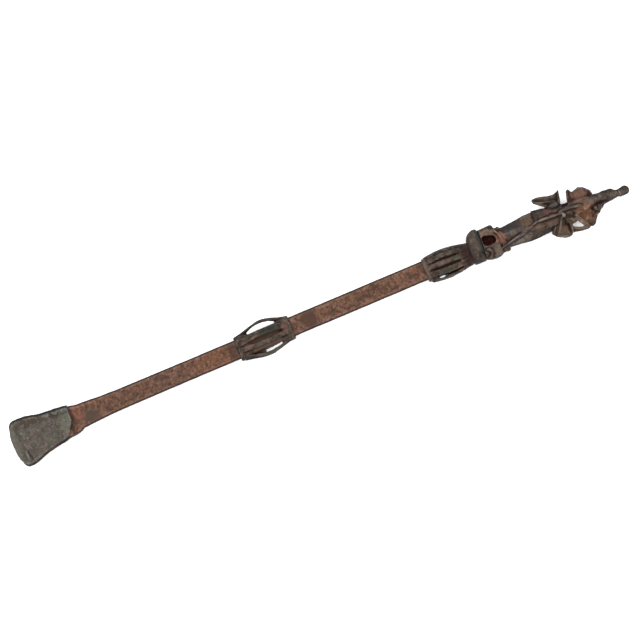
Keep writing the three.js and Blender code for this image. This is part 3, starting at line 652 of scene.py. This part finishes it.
# %% Forging the foot
FOOT_FACE = 3.4
SOCKET_FACE = 6.3
foot = blank_of("foot_blade", "foot")
weld_drop(foot, (9.4, -14.4, FOOT_FACE - 0.5), (4, 10, 2.6))
weld_rod(foot, [(34, -16, 0), (43, -14.9, 0), (52.4, -13.9, 0)], 2.4, 3)
weld_rod(foot, [(2.2, -14, 2.2), (3.6, -19, 2), (8, -22.2, 1.4)], 2.4, 0.7)
for along, left, size in ((53.6, -3, 2.6), (51, -8.4, 3), (46.4, 11.6, 3.4), (44, 13.4, 2.4)):
    weld_drop(foot, (along, left, SOCKET_FACE), (size * 1.4, size, 1.2))
forge(foot, 0.4, 6, [(14, 1.1), (5, 0.5), (1.5, 0.18)])
mark_hollows(foot, rounds=60, edge=6.0)

# %% The foot's finish
foot.data.materials.append(
    iron_finish(
        "grey_green_foot",
        rgb(99, 95, 87),
        [
            (mottled(9, 0.52, 0.06, 11.0), rgb(78, 76, 69), 0.9),
            (mottled(7, 0.54, 0.05, 18.0), rgb(106, 92, 85), 0.85),
            (mottled(4, 0.56, 0.05, 12.0), rgb(117, 112, 100), 0.7),
            (mottled(5, 0.6, 0.05, 13.0), rgb(104, 82, 72), 0.7),
            # Browner along the left edge, darker and paler by the socket.
            (bloomed(24, 14, 3, (16, 6, 8), 0.4, 14.0), rgb(76, 60, 52), 0.7),
            (bloomed(50, 12, 5, (12, 5, 8), 0.5, 15.0), rgb(64, 60, 58), 0.8),
            (bloomed(53, -2, 6, (6, 12, 6), 0.6, 16.0), rgb(122, 120, 106), 0.6),
            # Painted shadow: the dark line under the fold.
            (bloomed(11.4, -13, 3, (0.9, 3.6, 5), 0.3, 19.0), rgb(50, 40, 36), 0.85),
            (bloomed(12.4, -17.6, 3, (0.9, 3.6, 5), 0.3, 19.5), rgb(46, 36, 32), 0.8),
            # Painted highlights on the ridges, specks, painted shade along the edges and sides, and the foot's
            # end.
            (both(ridges(0.4), mottled(5, 0.5, 0.05, 22.0)), rgb(132, 128, 116), 0.6),
            (mottled(1.8, 0.58, 0.05, 17.0), rgb(68, 64, 57), 0.6),
            (mottled(2.6, 0.62, 0.05, 20.0), rgb(136, 130, 118), 0.5),
            (both(shaded_rims(), mottled(9, 0.4, 0.1, 23.0)), rgb(30, 23, 21), 0.9),
            (shaded_sides(), rgb(18, 13, 12), 0.95),
            (bloomed(0, 0, 0, (6.5, 40, 20), 0.2, 21.0), rgb(108, 104, 95), 0.85),
        ],
        dull=0.72,
        rubbed=0.5,
    )
)
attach(foot, "root")
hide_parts("foot_blade")

# %% [markdown]
# ## The cages
# Each cage is a handful of straps forge-welded to two collars. The remesh welds straps and collars with a
# small fillet, as the fire does. The iron is dark grey-brown, paler where hands rubbed the straps, and
# red-brown in the gaps. Both cages share one finish, and each adds blooms of its own.


# %% The finish that both cages share
def cage_finish(name, seed, ground, *own):
    """The finish that both cages share, with mottling and any blooms of their own."""
    return iron_finish(
        name,
        ground,
        [
            (mottled(7, 0.5, 0.08, seed, 0.4), rgb(56, 48, 42), 0.9),
            (mottled(4, 0.56, 0.05, seed + 1), rgb(116, 94, 81), 0.75),
            (mottled(5, 0.58, 0.05, seed + 2), rgb(70, 72, 62), 0.7),
            (mottled(4, 0.6, 0.05, seed + 4), rgb(116, 82, 72), 0.6),
            (mottled(2, 0.58, 0.05, seed + 3), rgb(44, 36, 32), 0.7),
            # Painted shade along the outline, mottled, and on the steep sides.
            (both(shaded_rims(), mottled(8, 0.38, 0.1, seed + 6)), rgb(32, 24, 21), 0.85),
            (shaded_sides(), rgb(26, 19, 17), 0.85),
            (hollows(0.5), rgb(50, 26, 21), 0.85),
            (both(ridges(0.5), mottled(6, 0.53, 0.05, seed + 5)), rgb(116, 106, 94), 0.4),
            *own,
        ],
        dull=0.72,
        rubbed=0.45,
    )


# %% [markdown]
# The lower cage's outer straps are made thicker by rods, and rods fill the ends of its gaps.

# %% The lower cage
lower_cage = blank_of("middle_cage", "lower_cage")
weld_rod(lower_cage, [(228, -10.4, 1), (236, -11.6, 1.4), (243, -13, 1.8)], 4, 0.8)
weld_rod(lower_cage, [(230, -8.2, 0), (237, -9.2, 0.6), (244, -11, 1.2)], 3.6, 0.8)
OUTER_STRAP = [(229.4, 10, 0), (237.1, 14, 0), (246.4, 16.6, 0), (254, 15.8, 0), (262, 13, 0), (267.7, 10.4, 0)]
weld_rod(lower_cage, OUTER_STRAP, 2.4)
weld_rod(lower_cage, [(257, 13.6, 0), (261, 12, 0), (265, 10, 0), (269, 9, 0)], 3)
weld_rod(lower_cage, [(233, 8.2, 3), (247, 8.5, 4), (262, 8.4, 3)], 2)
forge(lower_cage, 0.38, 7, [(6, 0.4), (1.6, 0.16)])
mark_hollows(lower_cage, rounds=60)
lower_cage.data.materials.append(
    cage_finish(
        "lower_cage_iron",
        21.0,
        rgb(80, 67, 56),
        # Painted shade: a near-black spot where a deep gap between the straps lies in shadow.
        (bloomed(234.5, -6.4, 6, (3, 1.6, 5), 0.2, 25.0), rgb(24, 15, 13), 0.9),
        (bloomed(252, 6, 9, (12, 4, 6), 0.5, 27.0), rgb(48, 50, 44), 0.8),
        (bloomed(231, -1, 9, (4, 3, 6), 0.5, 28.0), rgb(124, 92, 80), 0.7),
        (bloomed(267, 2, 9, (3, 4, 6), 0.5, 29.0), rgb(124, 88, 76), 0.7),
        (bloomed(252, -13, 3, (16, 4, 9), 0.4, 26.0), rgb(92, 86, 74), 0.5),
    )
)
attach(lower_cage, "root")
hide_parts("middle_cage")

# %% [markdown]
# The upper cage has one small slit that shows the table. It is punched, the strap outside it is bulged by a
# rod, and a second rod closes the rest of the gap.

# %% The upper cage
upper_cage = blank_of("upper_cage", "upper_cage")
punch_drop(upper_cage, (416, -11.3, 0), (6.4, 1.8, 30))
weld_rod(upper_cage, [(406, -12.2, 0), (412, -13.2, 0), (418, -14, 0), (426, -14.2, 0)], 2.2, 1.6)
weld_rod(upper_cage, [(420.6, -11.6, 0), (425, -11.8, 0), (431, -11.6, 0)], 2)
forge(upper_cage, 0.4, 7, [(6, 0.4), (1.6, 0.16)])
mark_hollows(upper_cage, rounds=60, edge=5.0)
upper_cage.data.materials.append(
    cage_finish(
        "upper_cage_iron",
        31.0,
        rgb(71, 56, 47),
        # Painted shadow: dark red-brown on the cage's neck, where the collar shades it.
        (bloomed(445, 0, 4, (7, 20, 20), 0.4, 38.0), rgb(56, 36, 30), 0.8),
        (bloomed(404, 0, 4, (4, 20, 20), 0.4, 39.0), rgb(112, 94, 84), 0.6),
        (bloomed(434.4, -10.4, 6, (4, 2.8, 7), 0.4, 37.0), rgb(130, 98, 84), 0.7),
        (bloomed(421, -7.6, 8, (6, 2.4, 6), 0.4, 36.5), rgb(68, 78, 66), 0.7),
    )
)
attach(upper_cage, "root")
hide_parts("upper_cage")

# %% [markdown]
# ## The off-centre collar
# A thick ring, forged round the neck and standing out to one side. Its face is grey-brown, browner towards
# the cage, with a dark green-grey painted shade along the edge towards the head and painted shade on its steep
# sides.

# %% The collar
collar = forge(blank_of("offset_collar", "collar"), 0.35, 10, [(7, 0.5), (2, 0.2)])
mark_hollows(collar, rounds=60)
collar.data.materials.append(
    iron_finish(
        "collar_iron",
        rgb(86, 76, 67),
        [
            (mottled(6, 0.52, 0.08, 41.0), rgb(70, 62, 55), 0.8),
            (mottled(4, 0.57, 0.05, 42.0), rgb(112, 96, 86), 0.7),
            (mottled(4, 0.58, 0.05, 45.0), rgb(88, 90, 78), 0.7),
            (mottled(1.8, 0.58, 0.05, 44.0), rgb(56, 48, 42), 0.6),
            (bloomed(448, -2, 8, (2.4, 30, 12), 0.4, 46.0), rgb(66, 48, 40), 0.8),
            # Painted shade: dark green-grey along the rim towards the head.
            (bloomed(459.8, 4, 8, (3.6, 18, 14), 0.3, 43.0), rgb(52, 52, 46), 0.9),
            (bloomed(457.6, -6.4, 9, (3, 3, 4), 0.2, 47.0), rgb(40, 48, 42), 0.85),
            # Painted shade on the steep sides.
            (shaded_sides(), rgb(44, 38, 34), 0.75),
            (hollows(0.5), rgb(58, 36, 30), 0.7),
        ],
        dull=0.68,
        rubbed=0.45,
    )
)
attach(collar, "root")
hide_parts("offset_collar")

# %% [markdown]
# ## The head
# The head is one forging: a housing with a window, a trunk with a diagonal seam, four rolled leaves and a
# knobbed tip. Small forms are welded on before the remesh, each as a rod through its spots or as a drop.

# %% Small forms on the head
HEAD_RODS = {
    "first leaf's fold": ([(516, 18, 3.4), (526, 14, 4), (535, 12.4, 4.4)], 1.8),
    "strip beside the last leaf": ([(547.6, -6.4, 6), (551, -13, 6), (555.4, -19.6, 4)], 2.4),
    "ring by the window": ([(474, 9, 9), (477, 4, 9.6), (478.4, -2, 9.4), (477, -7, 8.6)], 2),
    "seam": ([(474.6, -8.4, 6.8), (486, -5.8, 8.6), (500, -2.2, 9.8), (513, 1.2, 10)], 1.8),
    "strip's inner edge": ([(545.6, -6.4, 5.6), (549.2, -12.4, 5.4), (552.4, -18.6, 3.8)], 3.2),
    "loop": ([(539.6, -15.4, 2.6), (543.4, -18.6, 2.4), (549.7, -20.4, 2.6), (553.5, -20, 3)], 2.8),
    "third leaf's rim": ([(524.8, -17.2, 2.6), (526.4, -19, 2.4), (530, -20.2, 2.4), (535, -21.6, 2.6)], 2.6),
    "tip": ([(568, -7, 0), (575.1, -5.4, 0), (583, -4.9, 0), (588, -4.4, 0)], 5),
}
HEAD_DROPS = {
    "cup beside the third leaf": ((543.2, -7.2, 4), (13.4, 12, 7.4)),
    "tip's swelling": ((583, 1.6, 2), (8, 4.4, 5)),
    "tip's shoulder": ((578, 2.6, 2), (7, 3.4, 4)),
    "bead above the trunk": ((477.6, 9.4, 6), (3.2, 3.6, 4)),
    "bead below the trunk": ((479.6, -12, 0), (5.6, 3.4, 6)),
    "ring before the knob": ((591.7, -4, 0), (1.8, 8, 8)),
    "knob": ((597, -3.2, 0), (9, 9, 8.8)),
}
head = blank_of("head", "head")
weld_drop(head, (537.2, -2.6, 8.4), (4, 3.4, 3.4))
for spots, thick in HEAD_RODS.values():
    weld_rod(head, spots, thick)
for spot, size in HEAD_DROPS.values():
    weld_drop(head, spot, size)
forge(head, 0.42, 4, [(7, 0.5), (2, 0.24)])
mark_hollows(head, rounds=50)

# %% [markdown]
# The head's colours change along it, from pinkish brown at the window through grey-green on the trunk to
# orange rust inside the last leaf. The first coats give each part its own colour, with some painted shade and
# highlights. Then come wear and painted shade along the edges over all of them, and last the blooms that no
# wear may cover, some of them painted shade and highlights.

# %% The head's first coats
head_parts = [
    (mottled(8, 0.5, 0.08, 51.0), rgb(76, 66, 60), 0.85),
    (mottled(5, 0.55, 0.05, 52.0), rgb(112, 92, 80), 0.8),
    (mottled(4, 0.58, 0.05, 53.0), rgb(100, 66, 54), 0.7),
    (mottled(4, 0.6, 0.05, 55.0), rgb(84, 84, 76), 0.7),
    # The housing.
    (bloomed(466, 12, 8, (8, 6, 10), 0.5, 56.0), rgb(128, 102, 86), 0.85),
    (bloomed(475, 4, 9, (3.4, 8, 6), 0.4, 57.0), rgb(160, 116, 98), 0.9),
    (bloomed(472, -9, 8, (6, 5, 8), 0.5, 58.0), rgb(122, 104, 92), 0.7),
    # The trunk and the pad on it.
    (bloomed(491, 6, 8, (13, 7, 8), 0.5, 59.0), rgb(84, 78, 78), 0.8),
    (bloomed(505, 6, 8, (8, 7, 8), 0.5, 60.0), rgb(122, 97, 80), 0.8),
    (bloomed(492, -9, 6, (14, 6, 8), 0.5, 61.0), rgb(146, 134, 125), 0.85),
    (bloomed(515, -8, 6, (9, 7, 8), 0.5, 62.0), rgb(122, 96, 76), 0.85),
    (bloomed(513, 7, 6, (3.4, 9, 9), 0.3, 63.0), rgb(58, 56, 48), 0.85),
    (bloomed(525, 7, 6, (4, 5, 8), 0.4, 64.0), rgb(112, 72, 64), 0.7),
    (bloomed(531, 10, 4, (6, 5, 8), 0.3, 65.0), rgb(68, 64, 58), 0.9),
    # The second leaf.
    (bloomed(556, 10, 4, (9, 7, 9), 0.6, 66.0), rgb(124, 88, 75), 0.85),
    # The tip and its ring.
    (
        both(bloomed(585, 0, 0, (18, 14, 14), 0.3, 85.0), mottled(4, 0.5, 0.05, 86.0)),
        rgb(46, 37, 34),
        0.85,
    ),
    (
        both(bloomed(588, 0, 0, (16, 14, 14), 0.3, 87.0), mottled(3, 0.55, 0.04, 88.0)),
        rgb(142, 130, 120),
        0.75,
    ),
    # Painted shade and painted highlight: a dark line before the ring and a pale line on it.
    (bloomed(590.2, -4, 2, (0.9, 6, 8), 0.1, 89.0), rgb(44, 36, 34), 0.8),
    (bloomed(591.8, -4, 2, (0.9, 6, 8), 0.1, 90.0), rgb(140, 130, 122), 0.75),
    # Painted shade on the trunk deep between the leaves, the trunk's own browns, and painted shadow beside its
    # rod.
    (bloomed(543, 7, 6, (6, 3.4, 9), 0.3, 76.0), rgb(34, 24, 21), 0.8),
    (bloomed(565.6, 10.5, 5, (4, 3, 9), 0.4, 78.0), rgb(58, 46, 42), 0.85),
    (bloomed(558, 2.4, 6, (12, 3.6, 9), 0.4, 80.0), rgb(98, 70, 60), 0.8),
    (bloomed(520, -5.6, 6, (9, 4, 9), 0.4, 81.0), rgb(104, 80, 64), 0.8),
    (bloomed(517, -4.6, 6, (3.6, 2.4, 9), 0.4, 82.0), rgb(50, 29, 23), 0.9),
    # The neck of the tip, and the knob.
    (bloomed(578, 1, 4, (11, 9, 9), 0.5, 69.0), rgb(66, 55, 50), 0.85),
    (bloomed(597, -2, 4, (5, 9, 9), 0.4, 72.0), rgb(58, 52, 48), 0.85),
    # The third leaf and the loop beside it.
    (bloomed(547, -13, 4, (10, 11, 9), 0.5, 73.0), rgb(136, 106, 86), 0.85),
    (bloomed(534, -16, 4, (8, 10, 9), 0.5, 74.0), rgb(142, 114, 95), 0.85),
]
print("first coats:", len(head_parts))

# %% Wear, and painted shade along the edges
head_wear_and_shade = [
    (mottled(2, 0.57, 0.05, 54.0), rgb(54, 44, 38), 0.65),
    # Painted shade along the outline, mottled, and on the steep sides.
    (both(shaded_rims(), mottled(7, 0.44, 0.1, 77.0)), rgb(44, 35, 31), 0.7),
    (shaded_sides(), rgb(30, 22, 20), 0.8),
    (hollows(0.6), rgb(50, 26, 20), 0.8),
    (both(ridges(0.5), mottled(6, 0.52, 0.05, 70.0)), rgb(124, 114, 102), 0.5),
]
print("coats of wear:", len(head_wear_and_shade))

# %% The last blooms
LAST_LEAF = (556, -11, 4, (10, 10, 10), 0.4)
WINDOW = (466.6, 3.4, -1, (7.6, 6, 6.6), 0.1, 71.0)
head_last = [
    # The insides of the leaves.
    (bloomed(532, -15, 2, (6, 7, 9), 0.4, 67.5), rgb(138, 112, 94), 0.65),
    (bloomed(556, 9, 4, (9, 6, 9), 0.5, 66.5), rgb(142, 108, 90), 0.62),
    (bloomed(557, -9.4, 4, (9.5, 10.5, 10), 0.4, 67.0), rgb(146, 104, 76), 0.75),
    # Painted shade deep in the cup, the pink cheek by the window and the dark corner of the housing.
    (bloomed(543.8, -6, 6, (4.8, 2.8, 9), 0.9, 75.0), rgb(20, 13, 11), 0.92),
    (bloomed(477.7, 0.3, 9, (3.6, 6, 6), 0.7, 83.0), rgb(158, 112, 94), 0.7),
    (bloomed(473.2, 13.8, 4, (5, 4, 16), 0.3, 84.0), rgb(38, 29, 26), 0.9),
    # Patches in the last leaf.
    (both(bloomed(*LAST_LEAF, 91.0), mottled(3, 0.53, 0.05, 92.0)), rgb(80, 51, 38), 0.8),
    (both(bloomed(*LAST_LEAF, 93.0), mottled(2.4, 0.55, 0.05, 94.0)), rgb(190, 150, 120), 0.65),
    # The grey strip beside the last leaf, the hollow below the cup, and painted shade on the leaf's inner wall
    # at its two folds.
    (bloomed(549.9, -9.8, 5, (2, 4.6, 9), 0.3, 95.2), rgb(104, 98, 86), 0.8),
    (bloomed(553.2, -15.8, 5, (2, 4, 9), 0.3, 95.4), rgb(104, 98, 86), 0.8),
    (bloomed(540.9, -10.8, 4, (2.6, 3.6, 9), 0.6, 75.4), rgb(82, 66, 53), 0.85),
    (bloomed(563.6, -7.2, 4, (2.2, 4.2, 9), 0.35, 68.0), rgb(64, 36, 27), 0.9),
    (bloomed(561.8, -12.8, 4, (1.7, 3.6, 9), 0.35, 68.5), rgb(64, 36, 27), 0.85),
    # Painted highlights on the rod on the trunk and on the bead at its end, and the third leaf's pale rim.
    (bloomed(518, 1, 9, (6.4, 1.1, 5), 0.3, 62.2), rgb(134, 124, 114), 0.8),
    (bloomed(537.2, -2.7, 9, (1.8, 2.4, 5), 0.3, 62.6), rgb(150, 142, 134), 0.8),
    (bloomed(529.6, -20.6, 3, (7, 2, 9), 0.2, 96.0), rgb(118, 116, 104), 0.6),
    # The window, dark red inside.
    (
        both(bloomed(466.6, 3.4, 8, (9.4, 7.8, 7), 0.6, 99.0), mottled(3, 0.46, 0.08, 99.5)),
        rgb(66, 44, 36),
        0.5,
    ),
    (bloomed(*WINDOW), rgb(94, 36, 25), 0.95),
    (both(bloomed(*WINDOW), mottled(2.4, 0.5, 0.05, 71.5)), rgb(40, 17, 13), 0.7),
]
print("last blooms:", len(head_last))

# %% The head's finish
head_coats = head_parts + head_wear_and_shade + head_last
head.data.materials.append(iron_finish("head_iron", rgb(90, 77, 68), head_coats, dull=0.7, rubbed=0.42))
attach(head, "root")
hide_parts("head")

# %% [markdown]
# ## Table, light and camera
# The staff lies on a plain pale table under a large soft light, seen straight from above. A long lens from
# far away keeps the view almost parallel. The camera is turned about its own axis so that the staff runs from
# the lower left of the picture to its upper right. The table and the lights are measured in metres.

# %% The table
TABLE_ACROSS = 8
TABLE_DROP = 0.0001  # a hair below the staff, so that the two never touch
PALE = (0.96, 0.96, 0.96, 1)
bpy.ops.mesh.primitive_plane_add(size=TABLE_ACROSS, location=(0, 0, -TABLE_DROP))
table = bpy.context.object
table.name = "table"
pale = bpy.data.materials.new("pale_table")
pale.use_nodes = True
pale.node_tree.nodes["Principled BSDF"].inputs["Base Color"].default_value = PALE
pale.node_tree.nodes["Principled BSDF"].inputs["Roughness"].default_value = 0.9
table.data.materials.append(pale)

# %% Soft light
WHITE = (1, 1, 1, 1)
ROOM_LIGHT = 1.45
SOFT_BOX = 2.2
world = bpy.data.worlds.new("studio")
scene.world = world
world.use_nodes = True
world.node_tree.nodes["Background"].inputs["Color"].default_value = WHITE
world.node_tree.nodes["Background"].inputs["Strength"].default_value = ROOM_LIGHT


def soft_box(name, where, power):
    """A square soft light that looks at the middle of the staff."""
    lamp = bpy.data.lights.new(name, "AREA")
    lamp.size = SOFT_BOX
    lamp.energy = power
    box = bpy.data.objects.new(name, lamp)
    scene.collection.objects.link(box)
    box.location = where
    box.rotation_euler = (-Vector(where)).to_track_quat("-Z", "Y").to_euler()
    box.visible_camera = False


soft_box("key_light", (-0.5, 0.8, 1.8), 54)
soft_box("fill_light", (0.7, -0.9, 1.7), 20)

# %% The camera
PICTURE_ACROSS = 576 * MM
PICTURE_TURN = 22.9
PICTURE_MIDDLE = (298.9, -4.3, 0)
LENS = 200
FARTHEST = 20
camera_data = bpy.data.cameras.new("camera")
camera_data.lens = LENS
camera = bpy.data.objects.new("camera", camera_data)
scene.collection.objects.link(camera)
distance = PICTURE_ACROSS * LENS / camera_data.sensor_width
camera.location = at(*PICTURE_MIDDLE) + Vector((0, 0, distance))
camera.rotation_euler = (0, 0, -math.radians(PICTURE_TURN))
camera_data.clip_end = FARTHEST
scene.camera = camera
scene.view_settings.view_transform = "Standard"
print(f"camera {distance:.2f} m above the staff")

# %% Let go of everything and finish
let_go()
bpy.context.view_layer.update()
